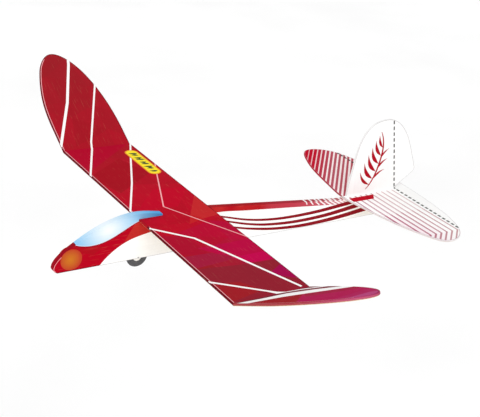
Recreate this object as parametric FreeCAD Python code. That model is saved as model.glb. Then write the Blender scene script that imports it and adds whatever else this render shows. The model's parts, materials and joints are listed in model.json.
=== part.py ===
import FreeCAD, Part
import math
import os

from FreeCAD import Vector

# Balsa hand glider: a flat profile fuselage, a sheet wing with raised tips, and a sheet tail.
# Millimetres. Drawn from a datum at the centre of the wing's leading edge, on its top face:
# +X forward, +Y to the pilot's left, +Z up. export() then moves all of it so that the origin
# is the centre of the whole box, at the bottom of the wheel.

# ---- wing -------------------------------------------------------------------------------
CHORD = 64.0
CENTRE_SPAN = 285.0        # flat panel, from one break to the other
TIP_LENGTH = 116.0         # each raised tip, along its own slope
TIP_ANGLE = 27.9           # degrees that each tip rises from the flat panel
WING_T = 2.0
WING_EDGE_R = 0.6          # sanded edges

# ---- fuselage ---------------------------------------------------------------------------
BODY_T = 5.0
BELLY_Z = -34.3
NOSE_X = 70.5              # foremost point
NOSE_Z = -30.7
NOSE_FOOT_X = 67.0         # where the nose's curve meets the belly
TONGUE_LENGTH = 20.5       # the cockpit's tail, which reaches back over the wing
TONGUE_H = 1.7
TONGUE_END_R = 1.0
COCKPIT_TOP_Z = 4.5
TAIL_ARM = 137.0           # wing's trailing edge to the tailplane's leading edge
BOOM_TOP_DROP = 0.2        # the boom's top behind the wing, below the wing's top face
SEAT_Z = -14.5             # flat seat under the tailplane
SEAT_LEAD = 4.0            # how far the seat starts ahead of the tailplane
BOOM_END_RAKE = 5.0        # how much further back the boom's foot is than the seat's end
BOOM_FOOT_R = 6.0

# ---- tailplane --------------------------------------------------------------------------
STAB_SPAN = 206.0
STAB_CHORD = 70.5
STAB_T = 1.5
TAIL_EDGE_R = 0.4
ELEVATOR_CHORD = 13.5      # at the centre, behind the fold

# ---- fin --------------------------------------------------------------------------------
FIN_H = 68.0
FIN_T = 1.5
FIN_SET_BACK = 2.4         # fin's foot behind the tailplane's leading edge
FIN_FOLD_LEAN = 13.0       # the rudder's fold is this much further forward at the top
RUDDER_REACH = 21.2        # rudder's rear corner behind the foot of its fold
RUDDER_CORNER_H = 15.6     # height of that corner above the tailplane
RUDDER_CORNER_CUT = 3.5    # how much of each edge the corner's rounding takes
FIN_TAB_LENGTH = 30.0
FIN_TAB_DEPTH = 4.0        # how far the tab goes into the boom

# ---- wheel ------------------------------------------------------------------------------
WHEEL_X = -1.2
AXLE_ABOVE_BELLY = 0.8
AXLE_R = 0.5
AXLE_STICKS_OUT = 0.4
TYRE_R = 9.0
TYRE_W = 2.0
TYRE_ROUND_R = 0.7
HUB_R = 3.8
HUB_W = 2.4
HUB_BOSS_R = 1.5

# ---- ballast and stickers ---------------------------------------------------------------
WEIGHT_X = 56.0
WEIGHT_Z = -24.7
WEIGHT_R = 8.0
DISC_R = 8.8
STICKER_T = 0.15
BADGE_LENGTH = 55.0
BADGE_W = 12.0
BADGE_FROM_REAR = 9.0      # its middle line to the wing's trailing edge
BADGE_FROM_BREAK = 16.0    # its outer end to the right break
BADGE_TURN = 90.0          # degrees from +X

# ---- clearances -------------------------------------------------------------------------
SLIP = 0.1                 # wing in its notch, fin in its slots
UNDER_TONGUE = 0.05
FOLD_KERF = 0.5            # width of the score that a tail surface bends along
WHEEL_SIDE_GAP = 0.1       # hub to each cheek of the slot
WHEEL_ROUND_GAP = 1.0
AXLE_RUNNING_FIT = 0.05    # radial, hub on axle
RUDDER_FOOT_GAP = 1.2      # rudder's foot above the tailplane
SEAT_BACK_GAP = 1.5        # the boom stops this far ahead of the elevator's fold

# ---- worked out -------------------------------------------------------------------------
BREAK_Y = CENTRE_SPAN / 2
STAB_X = -CHORD - TAIL_ARM
STAB_TOP_Z = SEAT_Z + STAB_T
ELEVATOR_FOLD_X = STAB_X - STAB_CHORD + ELEVATOR_CHORD
SEAT_FRONT_X = STAB_X + SEAT_LEAD
SEAT_END_X = ELEVATOR_FOLD_X + SEAT_BACK_GAP
FIN_X = STAB_X - FIN_SET_BACK
RUDDER_FOLD_X = ELEVATOR_FOLD_X + FOLD_KERF
RUDDER_CORNER_X = RUDDER_FOLD_X - RUDDER_REACH
AXLE_Z = BELLY_Z + AXLE_ABOVE_BELLY
BADGE_X = BADGE_FROM_REAR - CHORD
BADGE_Y = BADGE_FROM_BREAK + BADGE_LENGTH / 2 - BREAK_Y
SLOT_W = HUB_W + 2 * WHEEL_SIDE_GAP
FAR = 1000.0               # longer than any piece, for the boxes that trim them


def line(a, b):
    return Part.LineSegment(a, b).toShape()


def spline(points, start, end):
    """A smooth edge through the points that leaves and arrives in the given directions."""
    curve = Part.BSplineCurve()
    curve.interpolate(
        Points=points,
        InitialTangent=start.normalize(),
        FinalTangent=end.normalize(),
        Scale=False,
    )
    return curve.toShape()


def sheet(edges, thickness):
    """A plate with this closed outline, grown along the given vector."""
    wire = Part.Wire(Part.__sortEdges__(edges))
    return Part.Face(wire).extrude(thickness)


def rod(radius, width, x, z):
    """A cylinder across the fuselage, centred on the middle plane."""
    return Part.makeCylinder(radius, width, Vector(x, -width / 2, z), Vector(0, 1, 0))


def soften(plate, radius, normal, keep_flat):
    """Round the rim of a plate, apart from the edges that keep_flat picks out."""
    faces = [f for f in plate.Faces if abs(f.normalAt(0, 0).dot(normal)) > 0.999]
    widest = sorted(faces, key=lambda f: f.Area)[-2:]
    rim = []
    for face in widest:
        for edge in face.OuterWire.Edges:
            middle = edge.valueAt((edge.FirstParameter + edge.LastParameter) / 2)
            if not keep_flat(middle):
                rim.append(edge)
    return plate.makeFillet(radius, rim)


def half_space(point, lean, keep_positive):
    """A large box on one side of the plane through point whose normal is Y leaned about X."""
    start = Vector(-FAR, 0 if keep_positive else -FAR, -FAR / 2)
    box = Part.makeBox(2 * FAR, FAR, FAR, start)
    box.rotate(Vector(0, 0, 0), Vector(1, 0, 0), lean)
    box.translate(point)
    return box


# ---- wing -------------------------------------------------------------------------------
def wing_centre():
    """Flat panel with both ends mitred to meet the tips."""
    spare = WING_T
    panel = Part.makeBox(
        CHORD, CENTRE_SPAN + 2 * spare, WING_T, Vector(-CHORD, -BREAK_Y - spare, -WING_T)
    )
    along = [e for e in panel.Edges if abs(e.Length - CENTRE_SPAN - 2 * spare) < 1e-6]
    panel = panel.makeFillet(WING_EDGE_R, along)
    for side in (1, -1):
        end = half_space(Vector(0, side * BREAK_Y, 0), side * TIP_ANGLE / 2, side > 0)
        panel = panel.cut(end)
    return panel


def wing_tip():
    """Left tip, drawn flat from its root, mitred, then raised about the break."""

    def at(aft, out):
        return Vector(-aft * CHORD, out * TIP_LENGTH, -WING_T)

    inboard = Vector(0, -WING_T, 0)
    front = at(0, 0) + inboard
    rear = at(1, 0) + inboard
    outward = Vector(0, 1, 0)
    leading = spline(
        [at(0, 0.25), at(0.035, 0.52), at(0.15, 0.77), at(0.30, 0.94), at(0.47, 1.0)],
        outward,
        Vector(-1, 0, 0),
    )
    trailing = spline(
        [at(0.47, 1.0), at(0.67, 0.93), at(0.83, 0.77), at(0.955, 0.5), at(1.0, 0.22), at(1, 0)],
        Vector(-1, 0, 0),
        Vector(0, -1, 0),
    )
    outline = [line(front, at(0, 0.25)), leading, trailing, line(at(1, 0), rear), line(rear, front)]
    panel = sheet(outline, Vector(0, 0, WING_T))
    panel = soften(panel, WING_EDGE_R, Vector(0, 0, 1), lambda p: p.y < -0.9 * WING_T)
    panel = panel.common(half_space(Vector(0, 0, 0), -TIP_ANGLE / 2, True))
    panel.rotate(Vector(0, 0, 0), Vector(1, 0, 0), TIP_ANGLE)
    panel.translate(Vector(0, BREAK_Y, 0))
    return panel


def badge():
    """Pill-shaped paper sticker on the wing's top face."""
    straight = (BADGE_LENGTH - BADGE_W) / 2
    half = BADGE_W / 2
    corners = [Vector(sx * straight, sy * half, 0) for sx, sy in ((-1, -1), (1, -1), (1, 1), (-1, 1))]
    right_end = Part.Arc(corners[1], Vector(straight + half, 0, 0), corners[2]).toShape()
    left_end = Part.Arc(corners[3], Vector(-straight - half, 0, 0), corners[0]).toShape()
    outline = [line(corners[0], corners[1]), right_end, line(corners[2], corners[3]), left_end]
    pill = sheet(outline, Vector(0, 0, STICKER_T))
    pill.rotate(Vector(0, 0, 0), Vector(0, 0, 1), BADGE_TURN)
    pill.translate(Vector(BADGE_X, BADGE_Y, 0))
    return pill


# ---- fuselage ---------------------------------------------------------------------------
def at_side(x, z):
    return Vector(x, -BODY_T / 2, z)


def fuselage():
    """Profile sheet: nose, cockpit with its tongue, wing notch, boom, and the slots in it."""
    saddle_z = -WING_T
    notch_front = SLIP
    notch_rear = -CHORD - SLIP
    tongue_tip = at_side(-TONGUE_LENGTH, (UNDER_TONGUE + TONGUE_H) / 2)
    nose_low = at_side(NOSE_FOOT_X, BELLY_Z)
    nose_tip = at_side(NOSE_X, NOSE_Z)
    tongue_top = at_side(TONGUE_END_R - TONGUE_LENGTH, TONGUE_H)
    tongue_low = at_side(TONGUE_END_R - TONGUE_LENGTH, UNDER_TONGUE)
    cockpit = spline(
        [
            tongue_top,
            at_side(-2, COCKPIT_TOP_Z),
            at_side(17, 2.9),
            at_side(35, -3.0),
            at_side(53, -12.9),
            at_side(66, -22.4),
            nose_tip,
        ],
        Vector(1, 0, 0.18),
        Vector(0, 0, -1),
    )
    chin = spline([nose_tip, nose_low], Vector(0, 0, -1), Vector(-1, 0, -0.4))
    foot_rear = at_side(SEAT_END_X - BOOM_END_RAKE, BELLY_Z)
    seat_end = at_side(SEAT_END_X, SEAT_Z)
    upright = (seat_end - foot_rear).normalize()
    heel_front = foot_rear + Vector(BOOM_FOOT_R, 0, 0)
    heel_back = foot_rear + upright * BOOM_FOOT_R
    heel = spline([heel_front, heel_back], Vector(-1, 0, 0), upright)
    outline = [
        cockpit,
        chin,
        line(nose_low, heel_front),
        heel,
        line(heel_back, seat_end),
        line(seat_end, at_side(SEAT_FRONT_X, SEAT_Z)),
        line(at_side(SEAT_FRONT_X, SEAT_Z), at_side(notch_rear, -BOOM_TOP_DROP)),
        line(at_side(notch_rear, -BOOM_TOP_DROP), at_side(notch_rear, saddle_z)),
        line(at_side(notch_rear, saddle_z), at_side(notch_front, saddle_z)),
        line(at_side(notch_front, saddle_z), at_side(notch_front, UNDER_TONGUE)),
        line(at_side(notch_front, UNDER_TONGUE), tongue_low),
        Part.Arc(tongue_low, tongue_tip, tongue_top).toShape(),
    ]
    body = sheet(outline, Vector(0, BODY_T, 0))
    wheel_slot = rod(TYRE_R + WHEEL_ROUND_GAP, SLOT_W, WHEEL_X, AXLE_Z)
    axle_hole = rod(AXLE_R, BODY_T, WHEEL_X, AXLE_Z)
    weight_hole = rod(WEIGHT_R, BODY_T, WEIGHT_X, WEIGHT_Z)
    for hole in (wheel_slot, axle_hole, weight_hole, fin_tab(SLIP)):
        body = body.cut(hole)
    return body


def nose_disc(side):
    """Round paper sticker that hides one end of the ballast."""
    disc = rod(DISC_R, STICKER_T, WEIGHT_X, WEIGHT_Z)
    disc.translate(Vector(0, side * (BODY_T + STICKER_T) / 2, 0))
    return disc


# ---- tail -------------------------------------------------------------------------------
def tailplane():
    """Stabiliser and elevator in one sheet, before the fold is scored."""

    def at(aft, out):
        return Vector(STAB_X - aft * STAB_CHORD, out * STAB_SPAN / 2, SEAT_Z)

    leading = spline(
        [at(0, 0), at(0.05, 0.25), at(0.14, 0.55), at(0.29, 0.85), at(0.49, 1.0)],
        Vector(0, 1, 0),
        Vector(-1, 0.05, 0),
    )
    trailing = spline(
        [at(0.49, 1.0), at(0.70, 0.945), at(0.86, 0.77), at(0.965, 0.42), at(1, 0)],
        Vector(-1, 0.05, 0),
        Vector(0, -1, 0),
    )
    left = [leading, trailing]
    right = [e.mirror(Vector(0, 0, 0), Vector(0, 1, 0)) for e in left]
    plate = sheet(left + right, Vector(0, 0, STAB_T))
    return soften(plate, TAIL_EDGE_R, Vector(0, 0, 1), lambda p: False)


def stabiliser():
    ahead = Part.makeBox(
        FAR, FAR, FAR, Vector(ELEVATOR_FOLD_X + FOLD_KERF / 2, -FAR / 2, -FAR / 2)
    )
    return tailplane().common(ahead).cut(fin_tab(SLIP))


def elevator():
    behind = Part.makeBox(
        FAR, FAR, FAR, Vector(ELEVATOR_FOLD_X - FOLD_KERF / 2 - FAR, -FAR / 2, -FAR / 2)
    )
    return tailplane().common(behind)


def fin_tab(gap):
    """The fin's tab; a gap gives the slot that it goes into."""
    depth = STAB_T + FIN_TAB_DEPTH
    middle_x = (FIN_X + RUDDER_FOLD_X) / 2
    corner = Vector(
        middle_x - FIN_TAB_LENGTH / 2 - gap, -FIN_T / 2 - gap, STAB_TOP_Z - depth - gap
    )
    return Part.makeBox(FIN_TAB_LENGTH + 2 * gap, FIN_T + 2 * gap, depth + gap, corner)


def fin_sheet():
    """Fin and rudder in one sheet, before the fold is scored."""
    depth = RUDDER_FOLD_X - FIN_X

    def at(aft, up):
        return Vector(FIN_X + aft * depth, -FIN_T / 2, STAB_TOP_Z + up * FIN_H)

    foot = Vector(RUDDER_FOLD_X, -FIN_T / 2, STAB_TOP_Z)
    rudder_foot = foot + Vector(0, 0, RUDDER_FOOT_GAP)
    corner = Vector(RUDDER_CORNER_X, -FIN_T / 2, STAB_TOP_Z + RUDDER_CORNER_H)
    rear_edge = Vector(-0.40, 0, -1).normalize()
    rounded = corner - rear_edge * RUDDER_CORNER_CUT
    slant = (rudder_foot - corner).normalize()
    corner_low = corner + slant * RUDDER_CORNER_CUT
    leading = spline(
        [at(0, 0), at(0.085, 0.5), at(0.19, 0.80), at(0.39, 0.96), at(0.64, 1.0)],
        Vector(-0.06, 0, 1),
        Vector(-1, 0, 0),
    )
    trailing = spline(
        [at(0.64, 1.0), at(0.85, 0.955), at(1.06, 0.80), at(1.23, 0.55), rounded],
        Vector(-1, 0, 0),
        Vector(rear_edge),
    )
    heel = spline([rounded, corner_low], Vector(rear_edge), Vector(slant))
    outline = [
        leading,
        trailing,
        heel,
        line(corner_low, rudder_foot),
        line(rudder_foot, foot),
        line(foot, at(0, 0)),
    ]
    plate = sheet(outline, Vector(0, FIN_T, 0))
    foot_line = STAB_TOP_Z + RUDDER_FOOT_GAP
    return soften(plate, TAIL_EDGE_R, Vector(0, 1, 0), lambda p: p.z < foot_line)


def rudder_side(sign):
    """A box ahead of the rudder's fold (+1) or behind it (-1), clear of the score."""
    lean = math.degrees(math.atan2(FIN_FOLD_LEAN, FIN_H))
    start = FOLD_KERF / 2 if sign > 0 else -FOLD_KERF / 2 - FAR
    box = Part.makeBox(FAR, FAR, FAR, Vector(start, -FAR / 2, -FAR / 2))
    box.rotate(Vector(0, 0, 0), Vector(0, 1, 0), lean)
    box.translate(Vector(RUDDER_FOLD_X, 0, STAB_TOP_Z))
    return box


def fin():
    return fin_sheet().common(rudder_side(1)).fuse(fin_tab(0)).removeSplitter()


def rudder():
    return fin_sheet().common(rudder_side(-1))


# ---- wheel ------------------------------------------------------------------------------
def tyre():
    ring = rod(TYRE_R, TYRE_W, WHEEL_X, AXLE_Z).cut(rod(HUB_R, TYRE_W, WHEEL_X, AXLE_Z))
    rims = [e for e in ring.Edges if e.Closed and abs(e.Curve.Radius - TYRE_R) < 1e-6]
    return ring.makeFillet(TYRE_ROUND_R, rims)


def wheel_hub():
    disc = rod(HUB_R, TYRE_W, WHEEL_X, AXLE_Z).fuse(rod(HUB_BOSS_R, HUB_W, WHEEL_X, AXLE_Z))
    bore = rod(AXLE_R + AXLE_RUNNING_FIT, HUB_W, WHEEL_X, AXLE_Z)
    return disc.cut(bore).removeSplitter()


def footprint_centre(shapes):
    """Middle of the whole glider's box, at its bottom."""
    box = Part.makeCompound(shapes).optimalBoundingBox(False, False)
    return Vector(box.Center.x, 0, box.ZMin)


def export(pieces):
    os.makedirs("parts", exist_ok=True)
    origin = footprint_centre(list(pieces.values()))
    for name, shape in pieces.items():
        solid = shape.Solids[0].copy()
        solid.translate(-origin)
        solid.exportStep("parts/" + name + ".step")
        print(f"{name:16s} solids {len(shape.Solids)} volume {solid.Volume:9.1f} mm3")
    for name, point in {
        "datum": Vector(0, 0, 0),
        "belly": Vector(0, 0, BELLY_Z),
        "axle": Vector(WHEEL_X, 0, AXLE_Z),
        "elevator fold": Vector(ELEVATOR_FOLD_X, 0, SEAT_Z + STAB_T / 2),
        "rudder fold": Vector(RUDDER_FOLD_X, 0, STAB_TOP_Z),
    }.items():
        print(f"{name:16s}", tuple(round(v, 4) for v in point - origin))


left_tip = wing_tip()
export(
    {
        "fuselage": fuselage(),
        "nose_weight": rod(WEIGHT_R, BODY_T, WEIGHT_X, WEIGHT_Z),
        "nose_disc_left": nose_disc(1),
        "nose_disc_right": nose_disc(-1),
        "wing_centre": wing_centre(),
        "wing_tip_left": left_tip,
        "wing_tip_right": left_tip.mirror(Vector(0, 0, 0), Vector(0, 1, 0)),
        "wing_badge": badge(),
        "stabiliser": stabiliser(),
        "elevator": elevator(),
        "fin": fin(),
        "rudder": rudder(),
        "axle": rod(AXLE_R, BODY_T + 2 * AXLE_STICKS_OUT, WHEEL_X, AXLE_Z),
        "wheel_hub": wheel_hub(),
        "tyre": tyre(),
    }
)
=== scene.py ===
import json
import math
import random

import bmesh
import bpy
from bpy.props import FloatProperty, FloatVectorProperty, IntProperty, PointerProperty
from bpy.types import Operator, Panel, PropertyGroup
from mathutils import Matrix, Vector
from mathutils.geometry import delaunay_2d_cdt


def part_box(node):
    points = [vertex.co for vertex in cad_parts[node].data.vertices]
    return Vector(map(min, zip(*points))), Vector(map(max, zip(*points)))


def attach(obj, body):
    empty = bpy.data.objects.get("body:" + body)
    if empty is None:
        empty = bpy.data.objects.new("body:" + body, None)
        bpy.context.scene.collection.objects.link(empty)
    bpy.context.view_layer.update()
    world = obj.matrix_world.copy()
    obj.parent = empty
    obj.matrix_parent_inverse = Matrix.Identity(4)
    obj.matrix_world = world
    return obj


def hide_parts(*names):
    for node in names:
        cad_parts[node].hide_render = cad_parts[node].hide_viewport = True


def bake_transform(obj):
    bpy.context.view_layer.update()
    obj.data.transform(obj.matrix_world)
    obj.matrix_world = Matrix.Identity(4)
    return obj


bl_info = {
    "name": "Balsa hand glider",
    "version": (1, 0, 0),
    "blender": (4, 5, 0),
    "location": "3D View > Sidebar > Glider",
    "description": "Printed balsa skins, folds, wheel and stickers for a hand glider",
    "category": "Object",
}

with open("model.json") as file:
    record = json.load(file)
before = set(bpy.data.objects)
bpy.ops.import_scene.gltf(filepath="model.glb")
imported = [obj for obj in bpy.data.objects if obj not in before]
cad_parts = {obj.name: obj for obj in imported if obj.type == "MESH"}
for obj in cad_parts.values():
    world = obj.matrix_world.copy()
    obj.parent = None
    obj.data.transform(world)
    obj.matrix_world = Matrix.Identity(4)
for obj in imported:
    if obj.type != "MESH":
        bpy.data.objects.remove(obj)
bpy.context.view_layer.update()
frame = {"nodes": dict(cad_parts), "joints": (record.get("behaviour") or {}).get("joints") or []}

MM = 0.001
WELD = 0.005          # mm: CAD corners closer than this are one corner
OUTLINE_STEP = 4.0    # mm: longest stretch of an outline that is kept or dropped as one
RIM_STEP = 2.0        # mm: how often the ink may change along a rim
X, Y, Z = Vector((1, 0, 0)), Vector((0, 1, 0)), Vector((0, 0, 1))

# ---- places, from the frame ---------------------------------------------------------------
WING_LOW, WING_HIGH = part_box("wing_centre")
TIP_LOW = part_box("wing_tip_left")[0]
BODY_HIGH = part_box("fuselage")[1]
STAB_LOW, STAB_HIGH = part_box("stabiliser")
FIN_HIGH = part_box("fin")[1]
DISC_LOW, DISC_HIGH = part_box("nose_disc_left")
BADGE_LOW, BADGE_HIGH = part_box("wing_badge")
TYRE_LOW, TYRE_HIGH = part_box("tyre")
HUB_LOW, HUB_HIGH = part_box("wheel_hub")
AXLE_LOW, AXLE_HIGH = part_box("axle")

DATUM = Vector((WING_HIGH.x, 0, WING_HIGH.z))     # middle of the wing's leading edge, top face
CHORD = (WING_HIGH.x - WING_LOW.x) / MM
BREAK = TIP_LOW.y / MM
HALF_BODY = BODY_HIGH.y / MM
HALF_FIN = FIN_HIGH.y / MM
STAB_T = (STAB_HIGH.z - STAB_LOW.z) / MM
AXLE = (AXLE_LOW + AXLE_HIGH) / 2


def joint(name):
    return next(j for j in frame["joints"] if j["name"] == name)


def ink(hex_colour, cover=1.0):
    """sRGB hex to linear red, green, blue, with how much of the wood the ink covers."""
    channels = [int(hex_colour[i:i + 2], 16) / 255 for i in (1, 3, 5)]
    linear = [c / 12.92 if c <= 0.04045 else ((c + 0.055) / 1.055) ** 2.4 for c in channels]
    return (*linear, cover)


def mix(a, b, t):
    t = min(1.0, max(0.0, t))
    return tuple(p + (q - p) * t for p, q in zip(a, b))


def between(stops, t):
    """Colour at t along a list of (place, colour), in rising order of place."""
    if t <= stops[0][0]:
        return stops[0][1]
    for (t0, a), (t1, b) in zip(stops, stops[1:]):
        if t <= t1:
            return mix(a, b, (t - t0) / (t1 - t0))
    return stops[-1][1]


BARE = ink("#e2c79a", 0.0)


# ---- settings that a user would change ----------------------------------------------------
def colour_setting(name, description, hex_colour):
    return FloatVectorProperty(
        name=name,
        description=description,
        subtype="COLOR",
        size=4,
        min=0.0,
        max=1.0,
        default=ink(hex_colour),
    )


def length_setting(name, description, millimetres):
    return FloatProperty(
        name=name,
        description=description,
        subtype="DISTANCE",
        unit="LENGTH",
        min=0.0,
        default=millimetres * MM,
    )


class GliderInks(PropertyGroup):
    white: colour_setting("White", "Primer white under and between the colours", "#fdfdfc")
    crimson: colour_setting("Crimson", "Nose and upper fuselage", "#b5001c")
    # Prints the boom's stripes. On the fuselage's red rims it is mixed in as painted edge shade.
    maroon: colour_setting("Maroon", "The boom's stripes and the fuselage's red edges", "#8c1420")
    # Painted edge shade: this dark line round the wing's top face, on the wing's rims, on the nose's rims
    # and under the nose stands in for the shadowed thickness of the sheet.
    outer: colour_setting("Outer line", "Dark outline of the wing", "#6a0c1a")
    # Painted highlight: the pink line inside the wing's and the nose's front edges stands in for light on
    # the rounded edge. The same ink prints the wing's chevron.
    pink_print_and_highlight: colour_setting("Pinstripe", "Thin line inside the wing's leading edge", "#f7adb2")
    outline: colour_setting("Outline", "Thin line round the white areas", "#b4b2b2")
    sky: colour_setting("Sky", "Ends of the cockpit", "#6cbbf0")
    glare: colour_setting("Glare", "Middle of the cockpit", "#f7fbff")
    orange: colour_setting("Orange", "Middle of the nose disc", "#cc7412")
    ember: colour_setting("Ember", "Edge of the nose disc", "#bf3a1a")
    yellow: colour_setting("Yellow", "Badge field", "#ffe714")
    black: colour_setting("Black", "Dashes of the folds", "#161616")


class GliderSizes(PropertyGroup):
    stripe: length_setting("Stripe", "Width of the wing's main stripes", 1.9)
    facet: length_setting("Facet", "Length of the wing print's facets along the span", 27.0)
    dash: length_setting("Dash", "Length of a fold's dash", 3.4)
    dash_pitch: length_setting("Dash pitch", "From one dash to the next", 5.6)
    elevator_dash: length_setting("Elevator dash width", "Across the elevator's fold", 1.9)
    rudder_dash: length_setting("Rudder dash width", "Across the rudder's fold", 1.25)
    bevel: length_setting("Bevel", "Sanded edge of the fuselage", 0.35)
    seed: IntProperty(name="Seed", description="Seed of the facet pattern", default=7)


def inks():
    return bpy.context.scene.glider_inks


def sizes():
    return bpy.context.scene.glider_sizes


def in_mm(name):
    return getattr(sizes(), name) / MM


# ---- materials ----------------------------------------------------------------------------
def add(tree, kind, inputs=None, stops=None, **settings):
    """A new node with its settings; inputs are values or the sockets that they come from, and
    stops are a colour ramp's, as (place, colour)."""
    made = tree.nodes.new(kind)
    for key, value in settings.items():
        setattr(made, key, value)
    for key, value in (inputs or {}).items():
        if isinstance(value, bpy.types.NodeSocket):
            tree.links.new(value, made.inputs[key])
        else:
            made.inputs[key].default_value = value
    if stops:
        elements = made.color_ramp.elements
        elements[0].position, elements[0].color = stops[0]
        elements[1].position, elements[1].color = stops[-1]
        for place, colour in stops[1:-1]:
            elements.new(place).color = colour
    return made


def new_material(name):
    """A node material with nothing in it yet, and its tree."""
    material = bpy.data.materials.get(name) or bpy.data.materials.new(name)
    material.use_nodes = True
    tree = material.node_tree
    tree.nodes.clear()
    return material, tree


# The wood's grain, in mm across and along it. Balsa's own lines are about 0.3 mm apart and its
# pores about 0.2 by 2 mm: both are drawn coarser, so that they show on a whole glider.
GRAIN_LINE = (1.1, 70.0)
GRAIN_BAND = (6.6, 420.0)
PORE = (0.45, 14.0)
# Which of X, Y and Z go across the grain.
SPANWISE = (True, False, False)
LENGTHWISE = (False, True, True)
UPRIGHT = (True, True, False)


def printed_balsa(name, crosses):
    """Balsa sheet, sawn and sanded, offset printed and thinly lacquered: open straight grain
    shows through the ink as faint lines, pores stay ink-starved, and the gloss breaks up.
    crosses tells for X, Y and Z whether it goes across the grain."""
    if name in bpy.data.materials:
        return bpy.data.materials[name]
    material, tree = new_material(name)
    place = add(tree, "ShaderNodeTexCoord").outputs["Object"]
    fine, broad, pore = (
        add(
            tree,
            "ShaderNodeMapping",
            {"Vector": place, "Scale": [1 / ((wide if c else long) * MM) for c in crosses]},
        ).outputs[0]
        for wide, long in (GRAIN_LINE, GRAIN_BAND, PORE)
    )
    line = add(
        tree,
        "ShaderNodeTexNoise",
        {"Vector": fine, "Scale": 1.0, "Detail": 3.0, "Roughness": 0.6},
    ).outputs["Fac"]
    band = add(
        tree,
        "ShaderNodeTexNoise",
        {"Vector": broad, "Scale": 1.0, "Detail": 2.0, "Distortion": 0.4},
    ).outputs["Fac"]
    pores = add(
        tree,
        "ShaderNodeTexNoise",
        {"Vector": pore, "Scale": 1.0, "Detail": 1.0, "Roughness": 0.5},
    ).outputs["Fac"]
    starved = add(
        tree,
        "ShaderNodeMapRange",
        {"Value": pores, "From Min": 0.66, "From Max": 0.78, "To Min": 0.0, "To Max": 1.0},
    ).outputs[0]
    grain = add(
        tree, "ShaderNodeMix", {"Factor": 0.45, "A": line, "B": band}, data_type="FLOAT"
    ).outputs["Result"]
    wood = add(
        tree,
        "ShaderNodeValToRGB",
        {"Fac": grain},
        stops=[(0.30, ink("#c9a56e")), (0.50, ink("#e3c898")), (0.72, ink("#f1dfba"))],
    ).outputs["Color"]
    art = add(tree, "ShaderNodeAttribute", attribute_name="print")
    shade = add(
        tree,
        "ShaderNodeMapRange",
        {"Value": grain, "From Min": 0.30, "From Max": 0.70, "To Min": 0.955, "To Max": 1.02},
    ).outputs[0]
    printed = add(
        tree,
        "ShaderNodeMix",
        {"Factor": 1.0, "A": art.outputs["Color"], "B": shade},
        data_type="RGBA",
        blend_type="MULTIPLY",
    ).outputs["Result"]
    thin = add(
        tree, "ShaderNodeMath", {0: starved, 1: -0.10, 2: 1.0}, operation="MULTIPLY_ADD"
    ).outputs[0]
    cover = add(
        tree, "ShaderNodeMath", {0: art.outputs["Alpha"], 1: thin}, operation="MULTIPLY"
    ).outputs[0]
    colour = add(
        tree, "ShaderNodeMix", {"Factor": cover, "A": wood, "B": printed}, data_type="RGBA"
    ).outputs["Result"]
    gloss = add(
        tree,
        "ShaderNodeMapRange",
        {"Value": cover, "From Min": 0.0, "From Max": 1.0, "To Min": 0.85, "To Max": 0.74},
    ).outputs[0]
    rough = add(
        tree, "ShaderNodeMath", {0: line, 1: 0.16, 2: gloss}, operation="MULTIPLY_ADD"
    ).outputs[0]
    height = add(
        tree, "ShaderNodeMath", {0: starved, 1: -0.6, 2: grain}, operation="MULTIPLY_ADD"
    ).outputs[0]
    relief = add(
        tree, "ShaderNodeBump", {"Strength": 0.35, "Distance": 0.06 * MM, "Height": height}
    ).outputs[0]
    shader = add(
        tree,
        "ShaderNodeBsdfPrincipled",
        {
            "Base Color": colour,
            "Roughness": rough,
            "Normal": relief,
            "Specular IOR Level": 0.05,
        },
    ).outputs[0]
    add(tree, "ShaderNodeOutputMaterial", {"Surface": shader})
    return material


def printed_paper():
    """Coated label paper, offset printed: smooth and bright, with a soft sheen and faint fibres."""
    if "printed_label_paper" in bpy.data.materials:
        return bpy.data.materials["printed_label_paper"]
    material, tree = new_material("printed_label_paper")
    place = add(tree, "ShaderNodeTexCoord").outputs["Object"]
    fibres = add(
        tree,
        "ShaderNodeTexNoise",
        {"Vector": place, "Scale": 1 / (0.8 * MM), "Detail": 4.0, "Roughness": 0.65},
    ).outputs["Fac"]
    art = add(tree, "ShaderNodeAttribute", attribute_name="print")
    shade = add(
        tree,
        "ShaderNodeMapRange",
        {"Value": fibres, "From Min": 0.3, "From Max": 0.7, "To Min": 0.95, "To Max": 1.02},
    ).outputs[0]
    colour = add(
        tree,
        "ShaderNodeMix",
        {"Factor": 1.0, "A": art.outputs["Color"], "B": shade},
        data_type="RGBA",
        blend_type="MULTIPLY",
    ).outputs["Result"]
    rough = add(
        tree, "ShaderNodeMath", {0: fibres, 1: 0.18, 2: 0.30}, operation="MULTIPLY_ADD"
    ).outputs[0]
    relief = add(
        tree, "ShaderNodeBump", {"Strength": 0.2, "Distance": 0.02 * MM, "Height": fibres}
    ).outputs[0]
    shader = add(
        tree,
        "ShaderNodeBsdfPrincipled",
        {
            "Base Color": colour,
            "Roughness": rough,
            "Normal": relief,
            "Specular IOR Level": 0.15,
        },
    ).outputs[0]
    add(tree, "ShaderNodeOutputMaterial", {"Surface": shader})
    return material


def fold_ink():
    """Black offset ink in the scored dashes: matt, a little broken where the score is open."""
    if "black_fold_ink" in bpy.data.materials:
        return bpy.data.materials["black_fold_ink"]
    material, tree = new_material("black_fold_ink")
    place = add(tree, "ShaderNodeTexCoord").outputs["Object"]
    speck = add(
        tree,
        "ShaderNodeTexNoise",
        {"Vector": place, "Scale": 1 / (0.5 * MM), "Detail": 3.0},
    ).outputs["Fac"]
    colour = add(
        tree,
        "ShaderNodeValToRGB",
        {"Fac": speck},
        stops=[(0.35, inks().black), (0.85, ink("#3c3836"))],
    ).outputs["Color"]
    shader = add(
        tree, "ShaderNodeBsdfPrincipled", {"Base Color": colour, "Roughness": 0.7}
    ).outputs[0]
    add(tree, "ShaderNodeOutputMaterial", {"Surface": shader})
    return material


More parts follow.
